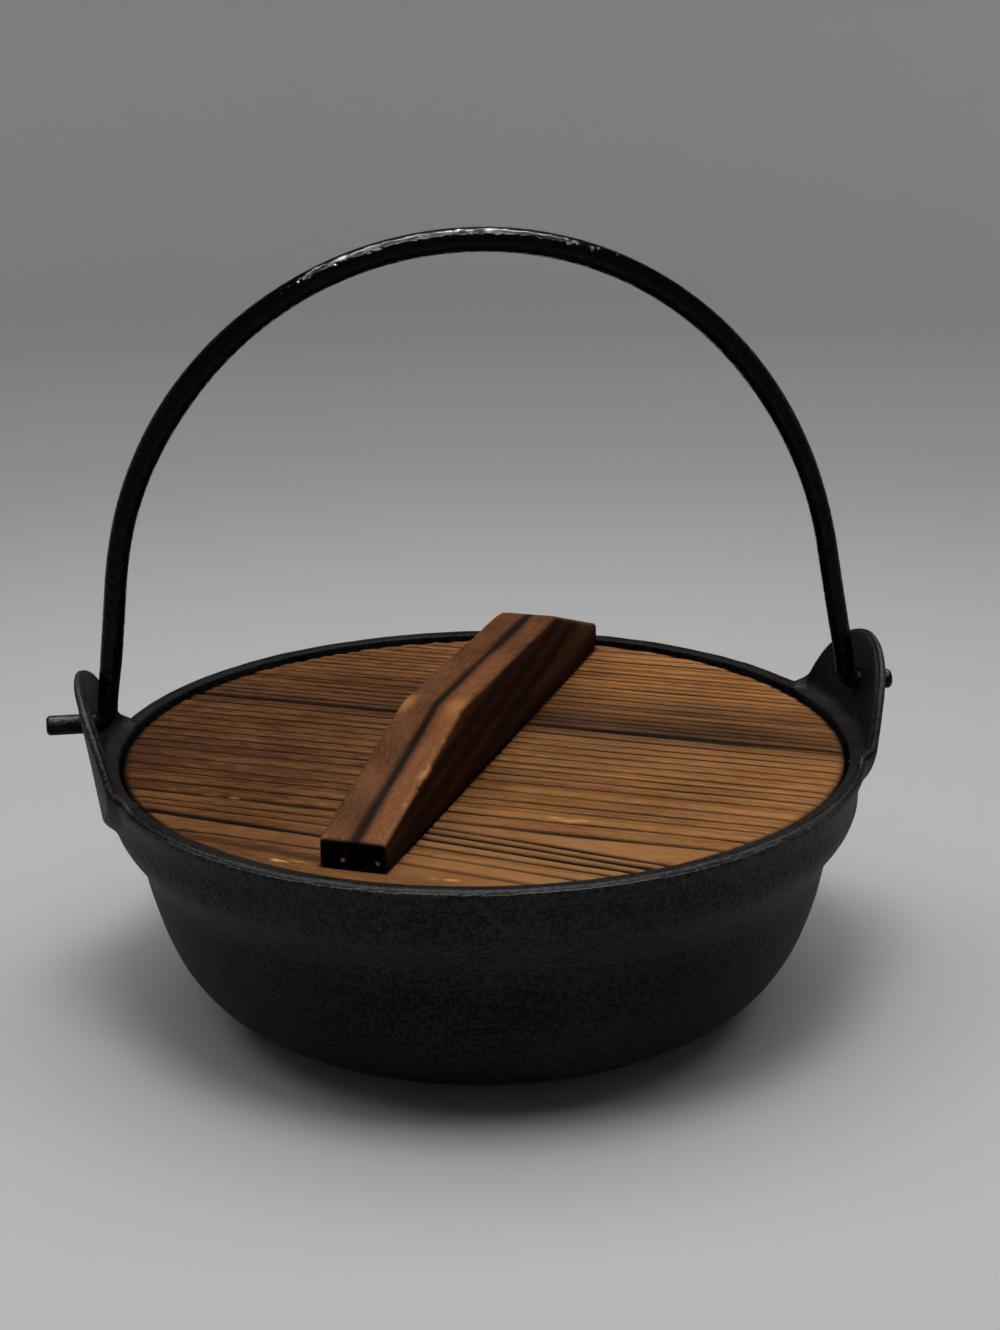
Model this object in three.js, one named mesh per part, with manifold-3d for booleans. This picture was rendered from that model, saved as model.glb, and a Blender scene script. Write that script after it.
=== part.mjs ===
// Cast iron hot pot with a scorched cedar lid and a steel bail.
// Millimetres, +Z up. The origin is the middle of the pot's flat base, and X runs along the bail's pins.
import * as THREE from 'three';
import { mergeVertices } from 'three/addons/utils/BufferGeometryUtils.js';
import Module from 'manifold-3d';

const wasm = await Module();
wasm.setup();

// Lid: three cedar boards, edge to edge, cut to one disc
const lidRadius = 118.6;
const lidThickness = 12;
const lidBelowRim = 1.5;
const lidEdgeBevel = 0.8;
const grainAngle = -25.6;
const frontJoint = -67;
const backJoint = 27;
const jointGap = 0.3;

// Growth rings that stand proud of the boards after brushing, at a spacing that sways across a board
const ringHeight = 0.8;
const ringPitch = 5.6;
const ringSway = 0.3;
const ringSwayStep = 1.9;
const ringFlank = 0.17;

// Crossbar: a straight grip with a flat crest and a long slope to each end
const barWidth = 21;
const barOffset = -4;
const barFrontInset = 7.6;
const barRearInset = 3.6;
const barFrontSlope = 73;
const barRearSlope = 53;
const barEndHeight = 9;
const barCrestHeight = 27.5;
const barEdgeBevel = 0.9;
const barSeatGap = 0.3;

// Sliding dovetail under the crossbar, entered from the lid's rear edge and stopped short of the front
const dovetailDepth = 5;
const dovetailNeck = 11;
const dovetailFoot = 15;
const dovetailSetback = 4;
const dovetailPlay = 0.3;

// Pot: a round bowl under a wider band that holds the lid
const potHeight = 88;
const wall = 4.2;
const baseThickness = 5;
const baseRadius = 48;
const lidPlay = 1.4;
const rimLand = 6;
const rimEdge = 1;
const rimFlare = 2.4;
const bandDrop = 12;
const bandStep = 8.6;
const creaseDrop = 28.5;
const ledgeWidth = 6;
const ledgeGap = 0.3;

// Lugs: plates that stand up from the band, bent to the pot's curve and leaning outwards
const lugRadius = 42;
const lugCentreDrop = 11.5;
const lugThickness = 4.2;
const lugLean = 0.14;
const lugEdgeRound = 1.6;

// Foot of a lug: a wider arc under the plate, rounded off into the band
const footRadius = 50.6;
const footDrop = 20.6;
const footRound = 7;
const footProud = 0.6;

// Bail: a round rod, thicker at its crown, with an elbow and an outward pin at each end
const pinHeight = 14.3;
const legRadius = 3.2;
const crownRadius = 3.9;
const legClearOfLid = 0.4;
const legClearOfLug = 1.3;
const pinHolePlay = 0.6;
const elbowRadius = 5;
const springHeight = 45.7;
const crownHeight = 151.7;
const archShift = -1.2;
const legDrawIn = 5.7;
const crownFullness = 0.53;
const shoulderFullness = 0.55;
const leftPinReach = 11.2;
const rightPinReach = 7.2;
const pinChamfer = 0.8;

// Facets
const aroundPot = 72;
const aroundLid = 72;
const aroundLug = 36;
const aroundRod = 12;
const aroundHole = 24;
const alongArch = 24;

// Sizes that follow from the ones above, measured from the base or from the pot's axis
const recessRadius = lidRadius + lidPlay;
const rimRadius = recessRadius + rimLand;
const bandRadius = rimRadius - rimFlare;
const bandHeight = potHeight - bandDrop;
const creaseRadius = bandRadius - bandStep;
const creaseHeight = potHeight - creaseDrop;
const lidBottom = potHeight - lidBelowRim - lidThickness;
const ledgeHeight = lidBottom - ledgeGap;
const pinLevel = potHeight + pinHeight;
const legHalfSpan = lidRadius + legClearOfLid + legRadius;
const lugInner = legHalfSpan + legRadius + legClearOfLug;
const lugOuter = lugInner + lugThickness;
const farOut = 2 * lugOuter;

// Lid heights, measured from its underside
const valleyHeight = lidThickness - ringHeight;
const barSeat = valleyHeight + barSeatGap;
const barFront = barFrontInset - lidRadius;
const barRear = lidRadius - barRearInset;

// A closed geometry as a solid, with shared vertices, no collapsed triangles and its faces outwards
function solid(geometry) {
  const bare = geometry.index ? geometry.toNonIndexed() : geometry.clone();
  bare.deleteAttribute('normal');
  bare.deleteAttribute('uv');
  const merged = mergeVertices(bare, 1e-3);
  const triangles = [];
  const inverted = [];
  for (let i = 0; i < merged.index.count; i += 3) {
    const [a, b, c] = [0, 1, 2].map((corner) => merged.index.getX(i + corner));
    if (a !== b && b !== c && c !== a) {
      triangles.push(a, b, c);
      inverted.push(a, c, b);
    }
  }
  const body = solidOf(merged, triangles);
  return body.volume() > 0 ? body : solidOf(merged, inverted);
}

function solidOf(merged, triangles) {
  return new wasm.Manifold(new wasm.Mesh({
    numProp: 3,
    vertProperties: new Float32Array(merged.attributes.position.array),
    triVerts: new Uint32Array(triangles),
  }));
}

// A solid as a geometry that a mesh can show
function geometryOf(body) {
  const { vertProperties, triVerts } = body.getMesh();
  const geometry = new THREE.BufferGeometry();
  geometry.setAttribute('position', new THREE.BufferAttribute(new Float32Array(vertProperties), 3));
  geometry.setIndex(new THREE.BufferAttribute(new Uint32Array(triVerts), 1));
  geometry.computeVertexNormals();
  return geometry;
}

// A profile of radius and height turned about the Z axis
function turned(profile, segments) {
  const lathe = new THREE.LatheGeometry(profile, segments);
  lathe.rotateX(Math.PI / 2);
  return solid(lathe);
}

// Rings of points joined into one skin, with a point that closes each end
function closedSkin(rings, firstPoint, lastPoint) {
  const count = rings[0].length;
  const points = [firstPoint, ...rings.flat(), lastPoint];
  const last = points.length - 1;
  const faces = [];
  for (let i = 0; i < count; i += 1) {
    const next = (i + 1) % count;
    faces.push(0, 1 + i, 1 + next);
    for (let start = 1; start + count < last; start += count) {
      const ahead = start + count;
      faces.push(start + i, ahead + i, ahead + next);
      faces.push(start + i, ahead + next, start + next);
    }
    faces.push(last - count + next, last - count + i, last);
  }
  const geometry = new THREE.BufferGeometry();
  geometry.setAttribute('position', new THREE.Float32BufferAttribute(points.flat(), 3));
  geometry.setIndex(faces);
  return solid(geometry);
}

// Outside of the pot, from the middle of the base up to the rim
function outerProfile() {
  const reach = creaseRadius - baseRadius;
  const belly = bandHeight - creaseHeight;
  const path = new THREE.Path();
  path.moveTo(0, 0);
  path.lineTo(baseRadius, 0);
  path.bezierCurveTo(
    baseRadius + 0.69 * reach, 0,
    creaseRadius - 0.12 * reach, 0.24 * creaseHeight,
    creaseRadius, creaseHeight,
  );
  path.bezierCurveTo(
    creaseRadius + 0.6 * bandStep, creaseHeight + 0.25 * belly,
    bandRadius, creaseHeight + 0.52 * belly,
    bandRadius, bandHeight,
  );
  path.quadraticCurveTo(
    bandRadius + 0.1 * rimFlare, potHeight - 0.4 * bandDrop,
    rimRadius, potHeight - rimEdge,
  );
  path.lineTo(rimRadius - rimEdge, potHeight);
  return path.getPoints(6);
}

// Inside of the pot, from the rim over the lid's ledge to the middle of the floor
function innerProfile() {
  const throat = recessRadius - ledgeWidth;
  const cavityRadius = creaseRadius - wall;
  const reach = cavityRadius - baseRadius;
  const path = new THREE.Path();
  path.moveTo(recessRadius + rimEdge / 2, potHeight);
  path.lineTo(recessRadius, potHeight - rimEdge / 2);
  path.lineTo(recessRadius, ledgeHeight);
  path.lineTo(throat, ledgeHeight);
  path.quadraticCurveTo(cavityRadius, ledgeHeight, cavityRadius, creaseHeight);
  path.bezierCurveTo(
    cavityRadius - 0.12 * reach, baseThickness + 0.24 * creaseHeight,
    baseRadius + 0.69 * reach, baseThickness,
    baseRadius, baseThickness,
  );
  path.lineTo(0, baseThickness);
  return path.getPoints(6);
}

// Middle of a lug's plate, as a radius from the pot's axis
function lugMiddle(height) {
  return lugInner + lugThickness / 2 + lugLean * (height - pinLevel);
}

// A lug's upper outline and its foot, as discs with a face set out from the middle of the plate
const lugTop = {
  radius: lugRadius,
  centre: potHeight - lugCentreDrop,
  face: lugThickness / 2,
  round: Math.min(lugEdgeRound, 0.45 * lugThickness),
};
const lugFoot = {
  radius: footRadius,
  centre: potHeight - footDrop + footRadius,
  face: lugThickness / 2 + footProud,
  round: footRound,
};

// A point of a disc: across and up from its middle, and out from the middle of the lug's plate
function lugPoint(side, disc, across, up, out) {
  const radius = lugMiddle(disc.centre + up) + out;
  return [side * Math.sqrt(radius * radius - across * across), side * across, disc.centre + up];
}

// A disc with rounded edges, bent to the pot's curve, that reaches inwards by the given depth
function bentDisc(side, disc, depth) {
  const flat = disc.radius - disc.round;
  const outer = [0.25, 0.5, 0.75, 1].map((share) => [flat * share, disc.face]);
  for (const degrees of [30, 60, 90]) {
    const turn = THREE.MathUtils.degToRad(degrees);
    outer.push([flat + disc.round * Math.sin(turn), disc.face - disc.round * (1 - Math.cos(turn))]);
  }
  const inner = outer.map(([radius, out]) => [radius, disc.face - depth - out]).reverse();
  const rings = outer.concat(inner).map(([radius, out]) => {
    const ring = [];
    for (let i = 0; i < aroundLug; i += 1) {
      const turn = (2 * Math.PI * i) / aroundLug;
      ring.push(lugPoint(side, disc, radius * Math.cos(turn), radius * Math.sin(turn), out));
    }
    return ring;
  });
  return closedSkin(rings, lugPoint(side, disc, 0, 0, disc.face), lugPoint(side, disc, 0, 0, -depth));
}

// The part of the band's wall, outwards from its middle, that carries the lugs
function spaceBelowRim() {
  const inner = (recessRadius + bandRadius) / 2;
  const path = new THREE.Path();
  path.moveTo(inner, 0);
  path.lineTo(farOut, 0);
  path.lineTo(farOut, potHeight - rimEdge);
  path.lineTo(inner, potHeight - rimEdge);
  path.closePath();
  return turned(path.getPoints(), aroundPot);
}

// A lug's plate, with a root that joins it to the band and a foot that rolls into the band
function lug(side) {
  const rootDepth = lugOuter - recessRadius;
  const plate = bentDisc(side, lugTop, lugThickness / 2);
  const root = bentDisc(side, lugTop, rootDepth).intersect(spaceBelowRim());
  return plate.add(root).intersect(bentDisc(side, lugFoot, rootDepth + footRound));
}

// One straight bore through both lugs
function pinBore() {
  const radius = legRadius + pinHolePlay;
  const bore = new THREE.CylinderGeometry(radius, radius, 2 * farOut, aroundHole);
  bore.rotateZ(Math.PI / 2);
  bore.translate(0, 0, pinLevel);
  return solid(bore);
}

function potBody() {
  const bowl = turned(outerProfile().concat(innerProfile()), aroundPot);
  return geometryOf(bowl.add(lug(1)).add(lug(-1)).subtract(pinBore()));
}

// Half of the bail's middle line in the XZ plane, from the crown to the end of a pin, above the pins' axis
function bailHalf(pinReach, shift) {
  const springHalfSpan = legHalfSpan - legDrawIn + shift;
  const legSlope = (legDrawIn - shift) / (springHeight - elbowRadius);
  const shoulder = shoulderFullness * (crownHeight - springHeight);
  const arch = new THREE.CubicBezierCurve(
    new THREE.Vector2(shift, crownHeight),
    new THREE.Vector2(THREE.MathUtils.lerp(shift, springHalfSpan, crownFullness), crownHeight),
    new THREE.Vector2(springHalfSpan - legSlope * shoulder, springHeight + shoulder),
    new THREE.Vector2(springHalfSpan, springHeight),
  );
  const elbow = new THREE.Path();
  elbow.moveTo(legHalfSpan, elbowRadius);
  elbow.absarc(legHalfSpan + elbowRadius, elbowRadius, elbowRadius, Math.PI, 1.5 * Math.PI);
  elbow.lineTo(lugOuter + pinReach - pinChamfer, 0);
  elbow.lineTo(lugOuter + pinReach, 0);
  return arch.getPoints(alongArch).concat(elbow.getPoints(3));
}

// The rod swells from its legs to its crown
function rodRadius(height) {
  const share = THREE.MathUtils.smoothstep(height, springHeight, crownHeight);
  return THREE.MathUtils.lerp(legRadius, crownRadius, share);
}

function bail() {
  const right = bailHalf(rightPinReach, archShift);
  const left = bailHalf(leftPinReach, -archShift).map((point) => new THREE.Vector2(-point.x, point.y));
  const line = left.reverse().concat(right.slice(1));
  const rings = line.map((point, i) => {
    const before = line[Math.max(i - 1, 0)];
    const after = line[Math.min(i + 1, line.length - 1)];
    const ahead = after.clone().sub(before).normalize();
    const tip = i === 0 || i === line.length - 1;
    const radius = rodRadius(point.y) - (tip ? pinChamfer : 0);
    const ring = [];
    for (let k = 0; k < aroundRod; k += 1) {
      const turn = (2 * Math.PI * k) / aroundRod;
      const out = radius * Math.cos(turn);
      ring.push([point.x - ahead.y * out, radius * Math.sin(turn), point.y + ahead.x * out]);
    }
    return ring;
  });
  const [first, last] = [line[0], line[line.length - 1]];
  return geometryOf(closedSkin(rings, [first.x, 0, first.y], [last.x, 0, last.y]));
}

// An outline pushed along X, with its own x along Y and its own y up
function pushedAlongX(shape, from, to, bevel = 0) {
  const geometry = new THREE.ExtrudeGeometry(shape, {
    depth: to - from - 2 * bevel,
    bevelEnabled: bevel > 0,
    bevelThickness: bevel,
    bevelSize: bevel,
    bevelOffset: -bevel,
    bevelSegments: 1,
  });
  geometry.rotateY(Math.PI / 2);
  geometry.rotateX(Math.PI / 2);
  geometry.translate(from + bevel, 0, 0);
  return solid(geometry);
}

// An outline pushed along Y, with its own x along X and its own y up
function pushedAlongY(shape, from, to) {
  const geometry = new THREE.ExtrudeGeometry(shape, { depth: to - from, bevelEnabled: false });
  geometry.rotateX(Math.PI / 2);
  geometry.translate(0, to, 0);
  return solid(geometry);
}

// The lid's round outline with bevelled edges, open above the boards' upper faces
function lidDisc() {
  return turned([
    new THREE.Vector2(0, 0),
    new THREE.Vector2(lidRadius - lidEdgeBevel, 0),
    new THREE.Vector2(lidRadius, lidEdgeBevel),
    new THREE.Vector2(lidRadius, lidThickness - lidEdgeBevel),
    new THREE.Vector2(lidRadius - 2 * lidEdgeBevel, lidThickness + lidEdgeBevel),
    new THREE.Vector2(0, lidThickness + lidEdgeBevel),
  ], aroundLid);
}

// A board's section across its grain: flat below, growth rings above
function boardSection(from, to, phase) {
  const shape = new THREE.Shape();
  shape.moveTo(from, 0);
  shape.lineTo(to, 0);
  shape.lineTo(to, valleyHeight);
  let valley = to;
  for (let ring = 0; valley - from > 2 * ringPitch; ring += 1) {
    const pitch = ringPitch * (1 + ringSway * Math.sin(ringSwayStep * ring + phase));
    shape.lineTo(valley - ringFlank * pitch, lidThickness);
    shape.lineTo(valley - (1 - ringFlank) * pitch, lidThickness);
    valley -= pitch;
    shape.lineTo(valley, valleyHeight);
  }
  shape.lineTo(valley - ringFlank * ringPitch, lidThickness);
  shape.lineTo(from + ringFlank * ringPitch, lidThickness);
  shape.lineTo(from, valleyHeight);
  shape.closePath();
  return shape;
}

// Dovetail section under the crossbar, grown all round by the play, with a straight neck up to the top
function dovetailSection(play, top) {
  const neck = dovetailNeck / 2 + play;
  const foot = dovetailFoot / 2 + play;
  const floor = valleyHeight - dovetailDepth - play;
  const shape = new THREE.Shape();
  shape.moveTo(barOffset - foot, floor);
  shape.lineTo(barOffset + foot, floor);
  shape.lineTo(barOffset + neck, valleyHeight);
  shape.lineTo(barOffset + neck, top);
  shape.lineTo(barOffset - neck, top);
  shape.lineTo(barOffset - neck, valleyHeight);
  shape.closePath();
  return shape;
}

// What is cut out of the boards for the crossbar: a level bed, and the housing that runs out at the rear
function barHousing() {
  const above = lidThickness + barSeatGap;
  const groove = pushedAlongY(
    dovetailSection(dovetailPlay, above),
    barFront + dovetailSetback - dovetailPlay,
    lidRadius + dovetailPlay,
  );
  const bed = new THREE.BoxGeometry(
    barWidth + 2 * barSeatGap,
    barRear - barFront + 2 * barSeatGap,
    above - valleyHeight,
  );
  bed.translate(barOffset, (barRear + barFront) / 2, (above + valleyHeight) / 2);
  return groove.add(solid(bed));
}

// A board that spans from one line to another across the grain
function lidBoard(from, to, phase) {
  const plank = pushedAlongX(boardSection(from, to, phase), -lidRadius - 1, lidRadius + 1);
  return geometryOf(plank.intersect(lidDisc()).subtract(barHousing()));
}

function lidCrossbar() {
  const side = new THREE.Shape();
  side.moveTo(barFront, barSeat);
  side.lineTo(barRear, barSeat);
  side.lineTo(barRear, lidThickness + barEndHeight);
  side.lineTo(barRear - barRearSlope, lidThickness + barCrestHeight);
  side.lineTo(barFront + barFrontSlope, lidThickness + barCrestHeight);
  side.lineTo(barFront, lidThickness + barEndHeight);
  side.closePath();
  const half = barWidth / 2;
  const grip = pushedAlongX(side, barOffset - half, barOffset + half, barEdgeBevel);
  const tongue = pushedAlongY(dovetailSection(0, lidThickness), barFront + dovetailSetback, barRear);
  return geometryOf(grip.add(tongue));
}

function finished(name, geometry, color, roughness, metalness) {
  const mesh = new THREE.Mesh(geometry, new THREE.MeshStandardMaterial({ color, roughness, metalness }));
  mesh.name = name;
  return mesh;
}

const edge = lidRadius + 1;
const lid = new THREE.Group();
lid.add(
  finished('lid_board_front', lidBoard(-edge, frontJoint - jointGap / 2, 0.4), 0x9a6238, 0.7, 0),
  finished('lid_board_middle', lidBoard(frontJoint + jointGap / 2, backJoint - jointGap / 2, 2.1), 0x8a5733, 0.7, 0),
  finished('lid_board_back', lidBoard(backJoint + jointGap / 2, edge, 4.2), 0x8f5c36, 0.7, 0),
  finished('lid_crossbar', lidCrossbar(), 0x54341f, 0.75, 0),
);
lid.rotation.z = THREE.MathUtils.degToRad(grainAngle);
lid.position.z = lidBottom;

const bailMesh = finished('bail', bail(), 0x0d0d0e, 0.3, 0.1);
bailMesh.position.z = pinLevel;

const hotPot = new THREE.Group();
hotPot.add(finished('pot_body', potBody(), 0x1b1c1e, 0.75, 0.4), bailMesh, lid);

export default hotPot;
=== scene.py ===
"""A cast iron hot pot with a scorched cedar lid and a steel bail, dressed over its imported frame.

Sizes are written in millimetres and turned to metres when a mesh is made. X runs along the bail's
pins, Z is up, and the origin is the middle of the pot's flat base.
"""

import logging
from collections.abc import Callable
from dataclasses import dataclass
from enum import Enum
from functools import partial
from math import pi, radians

import bpy
import numpy as np
from bpy.types import Material, Node, NodeSocket, NodeTree, Object
from mathutils import Matrix, Vector
from numpy import ndarray as Array


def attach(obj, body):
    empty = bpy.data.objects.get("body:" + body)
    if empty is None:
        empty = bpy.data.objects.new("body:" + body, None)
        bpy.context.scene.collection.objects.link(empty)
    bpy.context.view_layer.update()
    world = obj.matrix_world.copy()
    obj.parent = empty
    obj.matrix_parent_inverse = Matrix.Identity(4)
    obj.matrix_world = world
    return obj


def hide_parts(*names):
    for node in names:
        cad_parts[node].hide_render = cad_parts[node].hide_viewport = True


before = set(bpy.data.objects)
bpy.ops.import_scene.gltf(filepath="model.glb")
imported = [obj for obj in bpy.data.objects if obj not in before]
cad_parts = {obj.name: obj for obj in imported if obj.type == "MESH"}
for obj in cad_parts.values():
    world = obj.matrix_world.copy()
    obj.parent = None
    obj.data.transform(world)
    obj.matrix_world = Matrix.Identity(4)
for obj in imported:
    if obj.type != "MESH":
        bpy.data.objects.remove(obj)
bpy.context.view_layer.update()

LOG = logging.getLogger("hot_pot")
MM = 0.001
# Shared by pieces that fit together, in millimetres and degrees.
PIN_LEVEL = 102.3
LID_RADIUS = 118.6
LID_BOTTOM = 74.5
LID_TURN = -25.6


class Body(Enum):
    """The bodies that pieces ride on."""

    POT = "pot"
    BAIL = "bail"
    LID = "lid"


class Slot(Enum):
    """The record's material slots."""

    IRON = "cast_iron"
    PAINT = "black_painted_steel"
    CEDAR = "scorched_cedar"
    DARK_CEDAR = "dark_scorched_cedar"


class Join(Enum):
    """What a tool does to a solid."""

    CUT = "DIFFERENCE"
    ADD = "UNION"


# ---- numbers


def smooth(x: Array, low: float, high: float) -> Array:
    """A smooth step, 0 below low and 1 above high, with 3t^2 - 2t^3 between them."""
    t = np.clip((np.asarray(x, float) - low) / (high - low), 0, 1)
    return t * t * (3 - 2 * t)


def bump(x: Array, middle: float, width: float, power: int = 2) -> Array:
    """A bell, exp(-((x - middle) / width)^power), whose top is flat for a power of 4."""
    return np.exp(-(((x - middle) / width) ** power))


def blend_max(a: Array, b: Array, reach: float) -> Array:
    """The larger of a and b, plus a fillet of reach/4 * (1 - |a - b| / reach)^2 where they are near."""
    near = np.clip(1 - np.abs(a - b) / reach, 0, None)
    return np.maximum(a, b) + 0.25 * reach * near * near


def ripple(points: Array, wavelength: float, seed: int) -> Array:
    """Gentle unevenness: the mean of seven plane sine waves that run in random directions.

    Args:
        points: positions, with x, y, z last.
        wavelength: mean length of the waves.
        seed: which waves are drawn.

    Returns:
        A value of about -1 to 1 at each point.
    """
    rng, waves = np.random.default_rng(seed), 7
    aim = rng.normal(size=(waves, 3))
    aim /= np.linalg.norm(aim, axis=1, keepdims=True)
    turns = 2 * np.pi / (wavelength * rng.uniform(0.6, 1.6, waves))
    phase = rng.uniform(0, 2 * np.pi, waves)
    total = np.sin(points.reshape(-1, 3) @ (aim * turns[:, None]).T + phase).sum(axis=1)
    return (total * 1.4 / waves).reshape(points.shape[:-1])


def wander(along: Array, length: float, seed: int) -> Array:
    """A line's slow wander: the mean of four sines along it, whose lengths grow by the half.

    Args:
        along: places on the line.
        length: the shortest sine's length.
        seed: which sines are drawn.

    Returns:
        A value of about -1 to 1 at each place.
    """
    rng, total, waves = np.random.default_rng(seed), 0 * along, 4
    for k in range(waves):
        weight = rng.uniform(0.5, 1.0)
        total = total + weight * np.sin(2 * np.pi * along / (length * 1.5**k) + rng.uniform(0, 2 * np.pi))
    return total / waves * 1.3


def bezier(points: list, count: int) -> Array:
    """Points on a cubic Bezier curve: (1-t)^3, 3(1-t)^2 t, 3(1-t)t^2, t^3 times its four points, summed."""
    t = np.linspace(0, 1, count)[:, None]
    weights = np.hstack([(1 - t) ** 3, 3 * (1 - t) ** 2 * t, 3 * (1 - t) * t * t, t**3])
    return weights @ np.asarray(points, float)


def joined(*parts: Array) -> Array:
    """Coordinates, each an array or one number for all, joined along a new last axis."""
    return np.stack(np.broadcast_arrays(*parts), axis=-1)


def quarter(x: float, y: float, radius: float, start: float, count: int) -> Array:
    """Points on the quarter of a circle about x, y that begins at the angle start, one in each row."""
    turn = start + np.linspace(0, 0.5 * np.pi, count)
    return joined(x + radius * np.cos(turn), y + radius * np.sin(turn))


# ---- meshes


def tube(name: str, rings: Array, capped: bool = True) -> Object:
    """A smooth skin: quads between rings of points, and a fan from the middle of each end ring.

    Its faces are turned over where the sum of a . (b x c) over its triangles is negative.

    Args:
        name: the piece's name.
        rings: positions in mm, as ring, point, coordinate.
        capped: whether the last ring has its fan too.

    Returns:
        The new object, at the origin.
    """
    rows, columns = rings.shape[:2]
    ends = 2 if capped else 1
    hubs = [ring.mean(axis=0) for ring in (rings[0], rings[-1])]
    vertices = np.vstack([rings.reshape(-1, 3), *hubs[:ends]])
    here = np.arange(columns)
    ahead = (here + 1) % columns
    low = np.arange(rows - 1)[:, None] * columns
    high = low + columns
    quads = joined(low + here, low + ahead, high + ahead, high + here).reshape(-1, 4)
    last, hub = (rows - 1) * columns, rows * columns
    fans = [joined(hub, ahead, here), joined(hub + 1, last + here, last + ahead)]
    triangles = np.vstack(fans[:ends])
    a, b, c = vertices[np.vstack([quads[:, [0, 1, 2]], quads[:, [0, 2, 3]], triangles])].swapaxes(0, 1)
    if np.einsum("ij,ij->", a, np.cross(b, c)) < 0:
        quads, triangles = quads[:, ::-1], triangles[:, ::-1]
    corners = np.concatenate([quads.ravel(), triangles.ravel()])
    starts = np.concatenate([np.arange(len(quads)) * 4, quads.size + np.arange(len(triangles)) * 3])
    mesh = bpy.data.meshes.new(name)
    mesh.vertices.add(len(vertices))
    mesh.vertices.foreach_set("co", (vertices * MM).astype(np.float32).ravel())
    mesh.loops.add(len(corners))
    mesh.loops.foreach_set("vertex_index", corners.astype(np.int32))
    mesh.polygons.add(len(starts))
    mesh.polygons.foreach_set("loop_start", starts.astype(np.int32))
    mesh.update(calc_edges=True)
    mesh.validate()
    mesh.shade_smooth()
    piece = bpy.data.objects.new(name, mesh)
    bpy.context.scene.collection.objects.link(piece)
    return piece


def positions(piece: Object) -> Array:
    """A piece's vertices, in mm, one in each row."""
    flat = np.zeros(len(piece.data.vertices) * 3, np.float32)
    piece.data.vertices.foreach_get("co", flat)
    return flat.reshape(-1, 3).astype(float) / MM


def paint(piece: Object, **layers: Array) -> None:
    """Writes attributes that the piece's material reads.

    Args:
        piece: the piece to write to.
        **layers: for each attribute's name, one value for each vertex.
    """
    for name, values in layers.items():
        attribute = piece.data.attributes.new(name, "FLOAT", "POINT")
        attribute.data.foreach_set("value", np.asarray(values, np.float32).ravel())


def boolean(piece: Object, tool: Object, join: Join) -> None:
    """Cuts a tool out of a piece, or adds it, and removes the tool.

    Args:
        piece: the piece that is changed.
        tool: a closed solid.
        join: which of the two.
    """
    modifier = piece.modifiers.new("tool", "BOOLEAN")
    modifier.operation, modifier.solver, modifier.object = join.value, "MANIFOLD", tool
    graph = bpy.context.evaluated_depsgraph_get()
    old, piece.data = piece.data, bpy.data.meshes.new_from_object(piece.evaluated_get(graph), depsgraph=graph)
    piece.modifiers.clear()
    bpy.data.meshes.remove(old)
    bpy.data.objects.remove(tool)
    piece.data.name = piece.name


def hand_over(piece: Object, material: Material, body: Body, cad_node: str) -> None:
    """Gives a piece its material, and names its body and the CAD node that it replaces.

    Args:
        piece: the finished piece.
        material: its only material.
        body: what it rides on.
        cad_node: the node that it stands for.
    """
    piece.data.materials.clear()
    piece.data.materials.append(material)
    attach(piece, body.value)
    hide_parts(cad_node)
    LOG.info("%s: %d faces", piece.name, len(piece.data.polygons))


# ---- materials


def linear(code: str) -> tuple:
    """The linear red, green, blue and alpha of an sRGB colour that is written as #rrggbb."""
    parts = [int(code[k:k + 2], 16) / 255 for k in (1, 3, 5)]
    return tuple(p / 12.92 if p <= 0.04045 else ((p + 0.055) / 1.055) ** 2.4 for p in parts) + (1.0,)


def node(tree: NodeTree, kind: str, inputs: dict | None = None, **settings: object) -> Node:
    """Adds a node with its settings and links.

    Args:
        tree: the material's node tree.
        kind: the node's type, without the word ShaderNode.
        inputs: for each live input, by name or place, a value, an output, or a node whose first
            live output feeds it.
        **settings: the node's own properties.

    Returns:
        The new node.
    """
    made = tree.nodes.new(f"ShaderNode{kind}")
    for key, value in settings.items():
        setattr(made, key, value)
    live = [socket for socket in made.inputs if socket.enabled]
    for key, value in (inputs or {}).items():
        socket = live[key] if isinstance(key, int) else next(s for s in live if s.name == key)
        if isinstance(value, Node):
            value = next(s for s in value.outputs if s.enabled)
        if isinstance(value, NodeSocket):
            tree.links.new(value, socket)
        else:
            socket.default_value = value
    return made


def new_material(name: str, *attributes: str) -> tuple[Material, Callable, list[NodeSocket]]:
    """Starts a material.

    Args:
        name: the material's name.
        *attributes: the attributes that it reads.

    Returns:
        The material, the node function bound to its tree, and the outputs of its object
        coordinates and of each attribute.
    """
    material = bpy.data.materials.new(name)
    material.use_nodes = True
    material.node_tree.nodes.clear()
    add = partial(node, material.node_tree)
    read = [add("Attribute", attribute_name=a).outputs["Fac"] for a in attributes]
    return material, add, [add("TexCoord").outputs["Object"], *read]


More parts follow.
